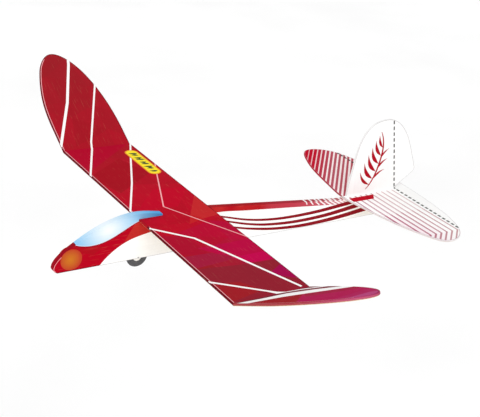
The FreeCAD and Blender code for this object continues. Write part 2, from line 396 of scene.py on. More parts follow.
def foam_rubber():
    """Moulded black rubber gone grey with dust: even, soft highlights over a fine pebble."""
    material, tree = new_material("moulded_grey_rubber")
    place = add(tree, "ShaderNodeTexCoord").outputs["Object"]
    pebble = add(
        tree,
        "ShaderNodeTexNoise",
        {"Vector": place, "Scale": 1 / (0.35 * MM), "Detail": 3.0},
    ).outputs["Fac"]
    dust = add(
        tree,
        "ShaderNodeTexNoise",
        {"Vector": place, "Scale": 1 / (4.0 * MM), "Detail": 4.0, "Roughness": 0.7},
    ).outputs["Fac"]
    colour = add(
        tree,
        "ShaderNodeValToRGB",
        {"Fac": dust},
        stops=[(0.30, ink("#434345")), (0.60, ink("#525255")), (0.80, ink("#6a6866"))],
    ).outputs["Color"]
    rough = add(
        tree, "ShaderNodeMath", {0: dust, 1: 0.25, 2: 0.55}, operation="MULTIPLY_ADD"
    ).outputs[0]
    relief = add(
        tree, "ShaderNodeBump", {"Strength": 0.4, "Distance": 0.03 * MM, "Height": pebble}
    ).outputs[0]
    shader = add(
        tree,
        "ShaderNodeBsdfPrincipled",
        {"Base Color": colour, "Roughness": rough, "Normal": relief},
    ).outputs[0]
    add(tree, "ShaderNodeOutputMaterial", {"Surface": shader})
    return material


def moulded_plastic():
    """White polypropylene, injection moulded: slightly waxy, with faint flow marks."""
    material, tree = new_material("moulded_white_polypropylene")
    place = add(tree, "ShaderNodeTexCoord").outputs["Object"]
    flow = add(
        tree,
        "ShaderNodeTexNoise",
        {"Vector": place, "Scale": 1 / (1.6 * MM), "Detail": 3.0, "Distortion": 0.8},
    ).outputs["Fac"]
    colour = add(
        tree,
        "ShaderNodeValToRGB",
        {"Fac": flow},
        stops=[(0.3, ink("#f2f2ef")), (0.7, ink("#ffffff"))],
    ).outputs["Color"]
    rough = add(
        tree, "ShaderNodeMath", {0: flow, 1: 0.2, 2: 0.28}, operation="MULTIPLY_ADD"
    ).outputs[0]
    relief = add(
        tree, "ShaderNodeBump", {"Strength": 0.15, "Distance": 0.02 * MM, "Height": flow}
    ).outputs[0]
    shader = add(
        tree,
        "ShaderNodeBsdfPrincipled",
        {"Base Color": colour, "Roughness": rough, "Normal": relief},
    ).outputs[0]
    add(tree, "ShaderNodeOutputMaterial", {"Surface": shader})
    return material


def drawn_steel():
    """Steel, drawn to wire or turned: fine lines round it that stretch the highlights."""
    if "drawn_steel" in bpy.data.materials:
        return bpy.data.materials["drawn_steel"]
    material, tree = new_material("drawn_steel")
    place = add(tree, "ShaderNodeTexCoord").outputs["Object"]
    stretched = add(
        tree,
        "ShaderNodeMapping",
        {"Vector": place, "Scale": (1 / (0.2 * MM), 1 / (5.0 * MM), 1 / (0.2 * MM))},
    ).outputs[0]
    lines = add(
        tree, "ShaderNodeTexNoise", {"Vector": stretched, "Scale": 1.0, "Detail": 2.0}
    ).outputs["Fac"]
    colour = add(
        tree,
        "ShaderNodeValToRGB",
        {"Fac": lines},
        stops=[(0.3, ink("#8f9092")), (0.7, ink("#c3c4c6"))],
    ).outputs["Color"]
    rough = add(
        tree, "ShaderNodeMath", {0: lines, 1: 0.25, 2: 0.2}, operation="MULTIPLY_ADD"
    ).outputs[0]
    relief = add(
        tree, "ShaderNodeBump", {"Strength": 0.2, "Distance": 0.01 * MM, "Height": lines}
    ).outputs[0]
    shader = add(
        tree,
        "ShaderNodeBsdfPrincipled",
        {"Base Color": colour, "Metallic": 1.0, "Roughness": rough, "Normal": relief},
    ).outputs[0]
    add(tree, "ShaderNodeOutputMaterial", {"Surface": shader})
    return material


# ---- flat artwork -------------------------------------------------------------------------
# A sheet's art is a list of patches in its own flat millimetres, painted in order. A patch is
# (closed outline, paint), and paint gives the ink at a point.
def flat_ink(colour):
    return lambda p: tuple(colour)


def smooth(points, steps=6):
    """A rounded line through the points, by Catmull and Rom's rule."""
    ends = [points[0], *points, points[-1]]
    line = []
    for a, b, c, d in zip(ends, ends[1:], ends[2:], ends[3:]):
        for i in range(steps):
            t = i / steps
            line.append(
                tuple(
                    0.5 * (2 * q + (r - p) * t + (2 * p - 5 * q + 4 * r - s) * t * t
                           + (3 * q - p - 3 * r + s) * t ** 3)
                    for p, q, r, s in zip(a, b, c, d)
                )
            )
    line.append(points[-1])
    return line


def ribbon(points, widths):
    """Outline of a line with a width at each point, mitred at its corners."""
    if not isinstance(widths, (list, tuple)):
        widths = [widths] * len(points)
    spots = [Vector(p) for p in points]
    left, right = [], []
    for i, spot in enumerate(spots):
        before = (spot - spots[i - 1]).normalized() if i else None
        after = (spots[i + 1] - spot).normalized() if i + 1 < len(spots) else None
        along = ((before or after) + (after or before)).normalized()
        across = Vector((-along.y, along.x))
        lean = max(0.5, along.dot(after or before))
        reach = across * widths[i] / 2 / lean
        left.append(tuple(spot + reach))
        right.append(tuple(spot - reach))
    return left + right[::-1]


def holds(outline, p):
    """Whether a closed outline holds the point."""
    inside = False
    x, y = p
    x0, y0 = outline[-1]
    for x1, y1 in outline:
        if (y0 > y) != (y1 > y) and x < (x1 - x0) * (y - y0) / (y1 - y0) + x0:
            inside = not inside
        x0, y0 = x1, y1
    return inside


class Sheet:
    """A flat CAD piece in its own millimetres: u and v along it, w out of its printed face."""

    def __init__(self, node, origin, u, v):
        n = u.cross(v)
        turn = Matrix((u, v, n)).transposed() * MM
        self.node = node
        self.to_row = Matrix.Translation(origin) @ turn.to_4x4()
        self.bm = bmesh.new()
        self.bm.from_mesh(frame["nodes"][node].data)
        self.bm.transform(self.to_row.inverted())
        bmesh.ops.remove_doubles(self.bm, verts=self.bm.verts, dist=WELD)
        self.ink = self.bm.loops.layers.float_color.new("print")

    def round_rims(self, level, width):
        """Sand the rim of both flat faces at plus and minus level."""
        bmesh.ops.dissolve_limit(
            self.bm,
            angle_limit=math.radians(0.5),
            verts=self.bm.verts,
            edges=self.bm.edges,
        )
        rims = []
        for sign in (1, -1):
            rims += self.rim(self.faces_at(sign * level))
        bmesh.ops.bevel(
            self.bm,
            geom=rims,
            offset=width,
            segments=2,
            profile=0.5,
            affect="EDGES",
            clamp_overlap=True,
        )

    def faces_at(self, level):
        return [
            f
            for f in self.bm.faces
            if all(abs(v.co.z - level) < 2 * WELD for v in f.verts)
        ]

    def rim(self, faces):
        inside = set(faces)
        edges = {e for f in faces for e in f.edges}
        return [e for e in edges if sum(f in inside for f in e.link_faces) == 1]

    def split_across(self, direction, places):
        """Cut every face at these distances along a direction of the sheet."""
        for place in places:
            everything = [*self.bm.verts, *self.bm.edges, *self.bm.faces]
            bmesh.ops.bisect_plane(
                self.bm,
                geom=everything,
                dist=WELD / 10,
                plane_co=direction * place,
                plane_no=direction,
            )

    def reach(self, direction):
        """Where the piece starts and ends along a direction of the sheet."""
        along = [v.co.dot(direction) for v in self.bm.verts]
        return min(along), max(along)

    def outline(self, level):
        """The outer rim of a flat face as a closed list of points, face on the left."""
        after = {}
        for face in self.faces_at(level):
            for loop in face.loops:
                if len(loop.edge.link_faces) == 2 and all(
                    all(abs(v.co.z - level) < 2 * WELD for v in f.verts)
                    for f in loop.edge.link_faces
                ):
                    continue
                after[loop.vert] = loop.link_loop_next.vert
        loops = []
        while after:
            start = next(iter(after))
            ring, spot = [], start
            while spot in after:
                ring.append(spot.co.xy.copy())
                spot = after.pop(spot)
            loops.append(ring)
        outer = max(loops, key=lambda ring: abs(area_of(ring)))
        outer = outer if area_of(outer) > 0 else outer[::-1]
        fine = []
        for a, b in zip(outer, [*outer[1:], outer[0]]):
            parts = max(1, math.ceil((b - a).length / OUTLINE_STEP))
            fine += [a.lerp(b, i / parts) for i in range(parts)]
        return fine

    def split_rim(self, rim, segments):
        """Put a corner on the rim wherever the art's outlines cross it."""
        for edge in rim:
            a, b = edge.verts
            p, q = a.co.xy, b.co.xy
            places = set()
            for s0, s1 in segments:
                t = crossing(p, q, s0, s1)
                if t is not None:
                    places.add(round(t, 5))
            near, done = a, 0.0
            for t in sorted(places):
                length = (q - p).length
                if (t - done) * length < 4 * WELD or (1 - t) * length < 4 * WELD:
                    continue
                piece = next(e for e in near.link_edges if e.other_vert(near) is b)
                _, near = bmesh.utils.edge_split(piece, near, (t - done) / (1 - done))
                done = t

    def paint(self, level, outward, patches, grid=0.0):
        """Rebuild the flat face at this level so that its edges follow the art, and ink it."""
        segments = [
            (Vector(a), Vector(b))
            for outline, _ in patches
            for a, b in zip(outline, [*outline[1:], outline[0]])
            if outline
        ]
        self.split_rim(self.rim(self.faces_at(level)), segments)
        faces = self.faces_at(level)
        rim = self.rim(faces)
        corners = list({v for e in rim for v in e.verts})
        number = {v: i for i, v in enumerate(corners)}
        points = [v.co.xy.copy() for v in corners]
        edges = [(number[e.verts[0]], number[e.verts[1]]) for e in rim]
        walls = [(points[a], points[b]) for a, b in edges]
        for a, b in segments:
            edges.append((len(points), len(points) + 1))
            points += [a, b]
        if grid:
            points += self.grid(walls, grid)
        bmesh.ops.delete(self.bm, geom=faces, context="FACES")
        spots, _, cells, origins, _, _ = delaunay_2d_cdt(points, edges, [], 0, WELD / 5)
        made = {}
        boxes = [box_of(outline) for outline, _ in patches]
        for cell in cells:
            flat = [spots[i] for i in cell]
            middle = sum(flat, Vector((0, 0))) / len(flat)
            if not inside_walls(walls, middle):
                continue
            ring = []
            for i in cell:
                if i not in made:
                    old = [k for k in origins[i] if k < len(corners)]
                    made[i] = (
                        corners[old[0]] if old else self.bm.verts.new((*spots[i], level))
                    )
                ring.append(made[i])
            if len(set(ring)) < 3:
                continue
            area = (flat[1] - flat[0]).cross(flat[2] - flat[0])
            if (area > 0) != (outward > 0):
                ring.reverse()
            if self.bm.faces.get(ring):
                continue
            face = self.bm.faces.new(ring)
            paint = patches[0][1]
            for (outline, candidate), box in zip(patches, boxes):
                if in_box(box, middle) and holds(outline, middle):
                    paint = candidate
            for loop in face.loops:
                loop[self.ink] = paint(loop.vert.co.xy)

    def grid(self, walls, pitch):
        """Extra points inside the outline, so that a shaded print changes evenly."""
        xs = [p.x for wall in walls for p in wall]
        ys = [p.y for wall in walls for p in wall]
        points = []
        for i in range(int((max(xs) - min(xs)) / pitch)):
            for j in range(int((max(ys) - min(ys)) / pitch)):
                spot = Vector((min(xs) + (i + 0.5) * pitch, min(ys) + (j + 0.5) * pitch))
                if inside_walls(walls, spot):
                    points.append(spot)
        return points

    def paint_rest(self, printed_levels, paint):
        """Ink the rims and backs: paint gets a face's middle and normal."""
        printed = {f for level in printed_levels for f in self.faces_at(level)}
        self.bm.normal_update()
        for face in self.bm.faces:
            if face in printed:
                continue
            colour = paint(face.calc_center_median(), face.normal)
            for loop in face.loops:
                loop[self.ink] = colour

    def close_seams(self):
        """Give each side of a seam the corners that the other side has, and join them."""
        loose = [e for e in self.bm.edges if len(e.link_faces) == 1]
        corners = {v for e in loose for v in e.verts}
        for edge in loose:
            a, b = edge.verts
            run = b.co - a.co
            places = []
            for v in corners - {a, b}:
                t = (v.co - a.co).dot(run) / run.length_squared
                if 0 < t < 1 and (a.co + run * t - v.co).length < WELD:
                    places.append(t)
            near, done = a, 0.0
            for t in sorted(places):
                piece = next(e for e in near.link_edges if e.other_vert(near) is b)
                _, near = bmesh.utils.edge_split(piece, near, (t - done) / (1 - done))
                done = t
        loose = {v for e in self.bm.edges if len(e.link_faces) != 2 for v in e.verts}
        bmesh.ops.remove_doubles(self.bm, verts=list(loose), dist=WELD)
        bmesh.ops.dissolve_degenerate(self.bm, edges=self.bm.edges, dist=WELD / 10)
        loose = [e for e in self.bm.edges if len(e.link_faces) == 1]
        filled = bmesh.ops.holes_fill(self.bm, edges=loose, sides=4)["faces"]
        for face in filled:
            if any(loop.link_loop_radial_next.vert is loop.vert for loop in face.loops):
                face.normal_flip()
            for loop in face.loops:
                beside = next(other for other in loop.vert.link_loops if other.face not in filled)
                loop[self.ink] = beside[self.ink]

    def finish(self, name, material, body, slot, *replaced):
        """Make the object, in its place in the row's frame, and hang it on its body."""
        bm = self.bm
        self.close_seams()
        bm.normal_update()
        for face in bm.faces:
            face.smooth = True
        for edge in bm.edges:
            if len(edge.link_faces) == 2:
                a, b = edge.link_faces
                flat = abs(a.normal.z) > 0.9999 or abs(b.normal.z) > 0.9999
                both = abs(a.normal.z) > 0.9999 and abs(b.normal.z) > 0.9999
                edge.smooth = not (flat and not both) and a.normal.angle(b.normal, 0) < 0.6
        bm.transform(self.to_row)
        mesh = bpy.data.meshes.new(name)
        bm.to_mesh(mesh)
        bm.free()
        mesh.materials.append(material)
        made = bpy.data.objects.new(name, mesh)
        bpy.context.scene.collection.objects.link(made)
        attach(made, body)
        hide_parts(*(replaced or (self.node,)))
        return made


def crossing(p, q, a, b):
    """How far along p to q the segment a to b crosses it, or None."""
    d, e = q - p, b - a
    bottom = d.cross(e)
    if abs(bottom) < 1e-9:
        return None
    t = (a - p).cross(e) / bottom
    s = (a - p).cross(d) / bottom
    return t if 0 < t < 1 and 0 <= s <= 1 else None


def inside_walls(walls, p):
    inside = False
    for a, b in walls:
        if (a.y > p.y) != (b.y > p.y) and p.x < (b.x - a.x) * (p.y - a.y) / (b.y - a.y) + a.x:
            inside = not inside
    return inside


def area_of(ring):
    return sum(a.cross(b) for a, b in zip(ring, [*ring[1:], ring[0]])) / 2


def band(ring, near, far, keep, paint):
    """Patches along a closed outline, from near to far inside it, where keep(a, b) is true."""
    count = len(ring)
    inward = []
    for i, spot in enumerate(ring):
        before = (spot - ring[i - 1]).normalized()
        after = (ring[(i + 1) % count] - spot).normalized()
        along = (before + after).normalized()
        across = Vector((-along.y, along.x))
        inward.append(across / max(0.5, along.dot(after)))
    kept = [keep(ring[i], ring[(i + 1) % count]) for i in range(count)]
    if all(kept):
        runs = [list(range(count)) + [0]]
    else:
        first = kept.index(False) + 1
        runs, run = [], []
        for step in range(count):
            i = (first + step) % count
            if kept[i]:
                run = run or [i]
                run.append((i + 1) % count)
            elif run:
                runs.append(run)
                run = []
        if run:
            runs.append(run)
    patches = []
    for run in runs:
        outer = [tuple(ring[i] + inward[i] * near) for i in run]
        inner = [tuple(ring[i] + inward[i] * far) for i in run]
        patches.append((outer + inner[::-1], paint))
    return patches


def ink_at(patches, spot):
    """The ink that painting the patches leaves at one place."""
    paint = patches[0][1]
    for outline, candidate in patches:
        if holds(outline, spot):
            paint = candidate
    return paint(spot)


def box_of(outline):
    xs, ys = zip(*outline)
    return min(xs), min(ys), max(xs), max(ys)


def in_box(box, p):
    return box[0] <= p.x <= box[2] and box[1] <= p.y <= box[3]


EVERYWHERE = [(-999, -999), (999, -999), (999, 999), (-999, 999)]


# ---- wing ---------------------------------------------------------------------------------
# The wing's reds: bright at the body, dark at both tips, pink at the left tip's end.
DARK_RED = "#9a1c26"
BRIGHT_RED = "#bb0624"
END_PINK = "#b04070"
# Towards the trailing edge the left wing turns to berry, by up to this share.
BERRY = "#bc004c"
BERRY_SHARE = 0.45
BERRY_FROM = 35
WING_REDS = [(-250, DARK_RED), (-10, BRIGHT_RED), (45, BRIGHT_RED), (100, DARK_RED),
             (215, DARK_RED), (262, END_PINK)]
# Stripes over the whole wing, laid flat: (points from front or inner end, width, ink).
WING_STRIPES = [
    ([(6, -136), (0.2, -148.4), (-23.9, -197.1), (-42.1, -242.9), (-48, -262)], 1.3),
    ([(5, -76), (0, -86.7), (-26.2, -140.4), (-28.9, -149.2), (-56, -210.2), (-62, -224)], 0.88),
    ([(4, -4), (-0.6, -14), (-25.7, -61.4), (-48.7, -109.4), (-68, -149)], 0.82),
    ([(5, 14), (0.6, 19.3), (-24.2, 46.4), (-58.4, 140.1)], 1.15),
    ([(5, 107), (-0.9, 111.2), (-31.5, 136.6), (-36.8, 141.5), (-52, 149), (-63, 161), (-70, 170)],
     [1.1, 1.1, 1.1, 1.6, 2.6, 2.6, 2.6]),
]
# The broad white sash across the left tip.
WING_SASH = [
    (8, 146), (0.5, 146.5), (-18, 152), (-37, 153.5), (-52, 167), (-65, 187), (-70, 194),
    (-70, 206), (-59, 198), (-38, 180), (-24, 169), (-8, 163), (8, 158),
]
PIN_CHEVRON = [(-70, -107), (-52, -66), (-28.8, -11.6), (-44.3, 19.9), (-70, 71)]
# Facets that stand out from the rest: (outline, ink).
WING_FACETS = [
    ([(4, -143), (4, -88), (-30, -116), (-61, -141)], "#b2032a"),
    ([(2, -84), (-8, -46), (-50, -76), (-38, -112)], "#a60d1f"),
    ([(-36, -44), (-6, -12), (-40, -8), (-66, -40)], "#c00226"),
    ([(4, 30), (4, 66), (-22, 74), (-20, 44)], "#ac0a2c"),
    ([(-18, 62), (-66, 62), (-66, 84), (-34, 84)], "#b90340"),
    ([(4, 70), (4, 90), (-40, 86), (-24, 72)], "#a2183a"),
    ([(-34, 84), (-66, 84), (-66, 97), (-42, 96)], "#c2004c"),
    ([(4, 90), (4, 142), (-66, 142), (-66, 98), (-42, 97)], "#921f2f"),
    ([(4, 112), (4, 142), (-30, 134), (-20, 118)], "#a01c26"),
    ([(-46, 116), (-66, 104), (-66, 131)], "#a4044c"),
    ([(4, 142.5), (4, 152), (-66, 196), (-66, 142.5)], "#7f2432"),
    ([(6, 160), (6, 232), (-20, 212), (-32, 178)], "#a2141f"),
    ([(6, 226), (-34, 178), (-66, 200), (-66, 265), (6, 265)], "#b3024f"),
    ([(-24, 196), (-34, 178), (-66, 200), (-52, 214)], "#a6123f"),
    ([(-8, 240), (-50, 228), (-66, 262), (-8, 265)], "#b21458"),
    ([(-12, 250), (-40, 243), (-60, 265), (-12, 265)], "#b8447c"),
    ([(-70, -21), (-62, -21), (-42, 8.7), (-49, 18.4), (-70, 15)], "#c4262a"),
    ([(-42, 8.7), (-32.7, 23.7), (-49, 18.4)], "#c21e24"),
]


def wing_ink_at(u, v):
    """The wing's red at a place on it."""
    red = between([(place, ink(colour)) for place, colour in WING_REDS], v)
    if v < BERRY_FROM:
        return red
    share = min(1.0, max(0.0, -u / CHORD))
    return mix(red, ink(BERRY), BERRY_SHARE * share)


def wing_art():
    """Flat-coloured facets with stripes across them, over the whole unrolled wing."""
    dice = random.Random(sizes().seed)
    pitch = in_mm("facet")
    reach = int(300 / pitch)
    points = []
    for j in range(-reach, reach + 1):
        for i in range(4):
            slide = 0.5 * pitch if i % 2 else 0.0
            u = 14 - i * (CHORD + 28) / 3 + dice.uniform(-6, 6)
            points.append(Vector((u, j * pitch + slide + dice.uniform(-7, 7))))
    spots, _, cells, *_ = delaunay_2d_cdt(points, [], [], 0, 1e-3)
    patches = [(EVERYWHERE, flat_ink(inks().crimson))]
    for cell in cells:
        outline = [tuple(spots[i]) for i in cell]
        u = sum(p[0] for p in outline) / 3
        v = sum(p[1] for p in outline) / 3
        tone = dice.uniform(-1, 1)
        colour = wing_ink_at(u, v)
        other = ink("#8c1018") if tone < 0 else ink("#c8102c")
        patches.append((outline, flat_ink(mix(colour, other, 0.14 * abs(tone)))))
    for outline, colour in WING_FACETS:
        patches.append((outline, flat_ink(ink(colour))))
    return patches


def wing_lines():
    """What is printed over the facets and over the painted highlight along the front edge."""
    scale = in_mm("stripe")
    white, pink = flat_ink(inks().white), flat_ink(inks().pink_print_and_highlight)
    patches = [(ribbon(PIN_CHEVRON, 0.55 * scale), pink), (WING_SASH, white)]
    for line, width in WING_STRIPES:
        wide = [w * scale for w in width] if isinstance(width, list) else width * scale
        patches.append((ribbon(line, wide), white))
    return patches


def clear_of_break(a, b):
    return max(abs(abs(a.y) - BREAK), abs(abs(b.y) - BREAK)) > 0.05


def front_of_wing(a, b):
    """Edges that carry the painted highlight band: the front, up to each tip's end and clear of the body."""
    middle = (a + b) / 2
    return clear_of_break(a, b) and middle.x > -0.33 * CHORD and not -8 < middle.y < 17


def wing_rim(middle, normal):
    """The rims are dark maroon as painted edge shade, and white stripes cross them; the left tip's upright
    walls get a little pink as painted highlight; the underside is bare wood.
    """
    if normal.z < -0.35:
        return BARE
    spot = (middle.x, middle.y)
    striped = holds(WING_SASH, spot) or any(holds(ribbon(line, 2.0), spot) for line, _ in WING_STRIPES)
    if 0 < middle.y < BODY_SHADE and middle.x > -1:
        return ink("#b3121f")
    if middle.y > BREAK and normal.z > -0.2 and (normal.x > 0.05 or middle.y > BREAK + 92):
        surface_ink = wing_ink_at(middle.x, middle.y)
        # painted highlight: the tip's upright walls take a little pink
        pink = tuple(inks().pink_print_and_highlight)
        return mix(surface_ink, pink, 0.15 if abs(normal.z) < 0.3 else 0.0)
    # painted edge shade: the other rims are dark maroon, except where a white stripe crosses an upward face
    return tuple(inks().white) if striped and normal.z > 0.2 else tuple(inks().outer)


BODY_SHADE = 16.0      # mm: the left front edge is light red from the fuselage to here


def wing_panel(side):
    """Flat frame of the middle panel (side 0) or of a tip, unrolled past its break."""
    if side == 0:
        return Sheet("wing_centre", DATUM, X, Y)
    node = "wing_tip_left" if side > 0 else "wing_tip_right"
    faces = frame["nodes"][node].data.polygons
    top = max((f for f in faces if f.normal.z > 0.5), key=lambda f: f.area)
    outward = X.cross(top.normal) * -1
    along = outward if outward.y > 0 else -outward
    hinge = DATUM + Y * side * BREAK * MM
    return Sheet(node, hinge - along * side * BREAK * MM, X, along)


class GLIDER_OT_wing(Operator):
    """Printed skins for the wing's flat panel and its two raised tips"""

    bl_idname = "glider.wing"
    bl_label = "Wing"

    def execute(self, context):
        material = printed_balsa("printed_balsa_spanwise", SPANWISE)
        art = wing_art()
        for side, name in ((0, "wing_middle"), (1, "wing_left_tip"), (-1, "wing_right_tip")):
            sheet = wing_panel(side)
            low, high = sheet.reach(Y)
            cuts = math.ceil((high - low) / RIM_STEP)
            places = [low + (high - low) * i / cuts for i in range(1, cuts)]
            sheet.split_across(Y, [HALF_BODY, BODY_SHADE, *places])
            ring = sheet.outline(0.0)
            # Painted edge shade: a dark band round the top face. Painted highlight: a pink band inside the
            # front edge.
            edge = band(ring, 0.0, 0.35, clear_of_break, flat_ink(inks().outer))
            painted_edge_lighting = band(ring, 0.35, 0.95, front_of_wing, flat_ink(inks().pink_print_and_highlight))
            sheet.paint(0.0, 1, art + edge + painted_edge_lighting + wing_lines())
            sheet.paint_rest([0.0], wing_rim)
            sheet.finish(name, material, "airframe", "printed_balsa_wing")
        return {"FINISHED"}


# ---- fuselage -----------------------------------------------------------------------------
# Side art, in millimetres forward of and above the wing's leading edge.
RED_LOWER_EDGE = [
    (34.0, -38), (32.0, -34.3), (27.8, -29.6), (22.3, -24.9), (15.6, -20.5), (8, -17.0), (0, -14.8),
    (-10, -13.0), (-25, -11.4), (-45, -8.0), (-72, -5.8), (-100, -8.6), (-150, -13.6), (-200, -18.8),
    (-215, -20.4),
]
CANOPY_LOWER_EDGE = [
    (61, -7.6), (55.5, -11.4), (50.6, -13.8), (44.5, -15.3), (38.5, -15.7), (31, -14.9), (22.6, -12.2),
    (14, -8.1), (5.6, -3.8), (-1, -1.2), (-9, -0.6), (-22, -0.8),
]
# Speed lines under the boom's red band: (line, widest).
BOOM_STRIPES = [
    ([(-50, -3.0), (-66, -7.4), (-80, -11.5), (-100, -17.0), (-120, -20.4), (-142, -21.9), (-170, -21.6),
      (-196, -19.6), (-222, -16.6), (-262, -10)], 3.8),
    ([(-50, -6.0), (-68, -11.4), (-83, -16.0), (-102, -21.4), (-122, -25.2), (-150, -27.3), (-180, -26.6),
      (-206, -23.8), (-232, -20.0), (-264, -14)], 4.2),
    ([(-52, -11.0), (-72, -17.4), (-88, -22.0), (-106, -26.4), (-130, -30.4), (-158, -32.2), (-190, -31.2),
      (-222, -27.8), (-246, -24.0), (-266, -20)], 4.6),
]
CHEVRONS = 9
CHEVRON_PITCH = 4.6
NOSE_SHADE = 33.0      # mm ahead of the wing: the red's painted edge shade is darker from here forward


def body_red(p):
    """Crimson at the nose, orange-red behind the wing, fading to dusty pink at the tail."""
    return between(
        [
            (-205, ink("#d29aa0")),
            (-185, ink("#c8707a")),
            (-165, ink("#c24c5a")),
            (-140, ink("#c03a4a")),
            (-124, ink("#bf3844")),
            (-112, ink("#b8181f")),
            (-92, ink("#be2024")),
            (-84, ink("#b40a1c")),
            (-72, ink("#c22a2a")),
            (-40, ink("#b8001f")),
            (70, tuple(inks().crimson)),
        ],
        p[0],
    )


def canopy_blue(p):
    """Bright in the middle and blue towards both ends, like sky in a bubble canopy."""
    away = math.hypot(p[0] - 26, (p[1] + 5.0) * 1.35)
    return between(
        [
            (2, tuple(inks().glare)),
            (9, ink("#dfeffa")),
            (18, ink("#b8dcf4")),
            (27, ink("#90c9f1")),
            (36, tuple(inks().sky)),
            (44, ink("#4aa3e6")),
        ],
        away,
    )


def body_art():
    """Both sides of the fuselage."""
    white, maroon = tuple(inks().white), tuple(inks().maroon)
    lower = smooth(RED_LOWER_EDGE)
    canopy = smooth(CANOPY_LOWER_EDGE)
    patches = [
        (EVERYWHERE, flat_ink(white)),
        ([(90, -60), *lower, (-215, 20), (90, 20)], body_red),
        ([(3, -2.5), (-4, 0), (-13, -12.5), (-1, -14.4), (11.5, -17.2)], flat_ink(ink("#be2a26"))),
        ([(60, -8), (52, -19), (38, -24), (30, -19), (44, -12)], flat_ink(ink("#ae0a1c"))),
    ]
    for i in range(CHEVRONS):
        u = -158.5 - i * CHEVRON_PITCH
        drop = 3.4 - 0.12 * i
        top = 1.0 - 0.093 * (-64 - u) + 1.0
        run = min(15.0, 1.5 + 2.0 * i)
        line = [(u, top), (u - 0.9, top - drop), (u - 0.9 - run, top - drop - 2.2 - 0.42 * run)]
        patches.append((ribbon(line, [1.0, 1.1, 0.9 + 0.07 * i]), flat_ink(mix(white, ink("#f4cfd2"), 0.3))))
    for line, widest in BOOM_STRIPES:
        path = smooth(line)
        wide = [1.1 + (widest - 1.1) * min(1.0, 1.25 * i / len(path)) ** 1.5 for i in range(len(path))]
        patches.append((ribbon(path, wide), flat_ink(maroon)))
    patches.append((ribbon([(u, w - 0.5) for u, w in canopy], 0.5), flat_ink(ink("#741434"))))
    patches.append(([*canopy, (-30, 20), (70, 20), (70, -2)], canopy_blue))
    patches.append((ribbon(canopy, 0.35), flat_ink(ink("#f2dfe8"))))
    return patches


def nose_front(a, b):
    """Edges that carry the nose's painted highlight band."""
    middle = (a + b) / 2
    return middle.x > 58.5 and middle.y > -33.6


def nose_foot(a, b):
    """Edges that carry the painted shade line under the nose."""
    middle = (a + b) / 2
    return middle.x > NOSE_SHADE and middle.y < -33.6


def belly_edge(a, b):
    middle = (a + b) / 2
    return middle.x < 32 and middle.y < -22


def body_rim_paint(art):
    """The print wraps the sanded edges, darkened there as painted edge shade, most on the rounded corners;
    the belly and slots stay bare.
    """
    boxes = [box_of(outline) for outline, _ in art]
    grey, maroon, dark = tuple(inks().outline), tuple(inks().maroon), tuple(inks().outer)

    def paint(middle, normal):
        inner = Vector((middle.x, middle.y)) - Vector((normal.x, normal.y)) * 0.8
        if normal.y < -0.8 and abs(normal.z) < 0.3:
            return BARE
        chosen = art[0][1]
        for (outline, candidate), box in zip(art, boxes):
            if in_box(box, inner) and holds(outline, inner):
                chosen = candidate
        colour = chosen(inner)
        sanded = abs(normal.z) > 0.3
        # painted edge shade, stronger on the rounded corners than on the walls
        if colour[2] > 1.1 * colour[0]:
            return mix(colour, ink("#8fb4cc"), 0.35 if sanded else 0.08)
        if min(colour[:3]) > 0.5:
            return mix(colour, grey, 0.5 if sanded else 0.12)
        return mix(colour, dark if inner.x > NOSE_SHADE else maroon, 0.75 if sanded else 0.5)

    return paint


class GLIDER_OT_fuselage(Operator):
    """Printed skin for the profile fuselage, with sanded edges"""

    bl_idname = "glider.fuselage"
    bl_label = "Fuselage"

    def execute(self, context):
        sheet = Sheet("fuselage", DATUM, X, Z)
        sheet.round_rims(HALF_BODY, in_mm("bevel"))
        art = body_art()
        low, high = sheet.reach(X)
        cuts = math.ceil((high - low) / RIM_STEP)
        sheet.split_across(X, [low + (high - low) * i / cuts for i in range(1, cuts)])
        for sign in (1, -1):
            ring = sheet.outline(sign * HALF_BODY)
            # Painted highlight in pink along the nose's front, and painted edge shade as a dark line under
            # the nose.
            painted_edge_lighting = band(ring, 0.25, 0.65, nose_front, flat_ink(inks().pink_print_and_highlight))
            painted_edge_lighting += band(ring, 0.0, 0.6, nose_foot, flat_ink(inks().outer))
            edge = band(ring, 0.0, 0.28, belly_edge, flat_ink(inks().outline))
            sheet.paint(sign * HALF_BODY, sign, art + painted_edge_lighting + edge, grid=3.0)
        sheet.paint_rest([HALF_BODY, -HALF_BODY], body_rim_paint(art))
        material = printed_balsa("printed_balsa_lengthwise", LENGTHWISE)
        sheet.finish("fuselage_profile", material, "airframe", "printed_balsa_body")
        return {"FINISHED"}


# ---- tail ---------------------------------------------------------------------------------
# Tailplane art, in millimetres forward of the tailplane's front and out along it.
TAIL_STRIPES = 13
TAIL_ROOT_STRIPES = 9      # more of them, which start beside the fin
TAIL_STRIPE_PITCH = 6.3
TAIL_SLANT = 1.24          # mm outwards for each mm back
TAIL_LINES = 9
TAIL_LINE_PITCH = 5.9
LINE_BEND = 89.0           # where the left half's lines turn forward


def right_tail_red(p):
    """Deep red at the tip, dusty towards the root, following the stripes."""
    inward = p[1] - TAIL_SLANT * p[0]
    return between(
        [
            (-75, ink("#bd0024")),
            (-48, ink("#bd0a2a")),
            (-36, ink("#b93348")),
            (-18, ink("#b85866")),
            (0, ink("#b85360")),
        ],
        inward,
    )


def left_tail_tint(p):
    """White with a breath of pink towards the front of the tip."""
    pink = min(1.0, max(0.0, (p[1] - 40) / 40)) * min(1.0, max(0.0, (45 + p[0]) / 30))
    return mix(tuple(inks().white), ink("#f6dde6"), 0.8 * pink)


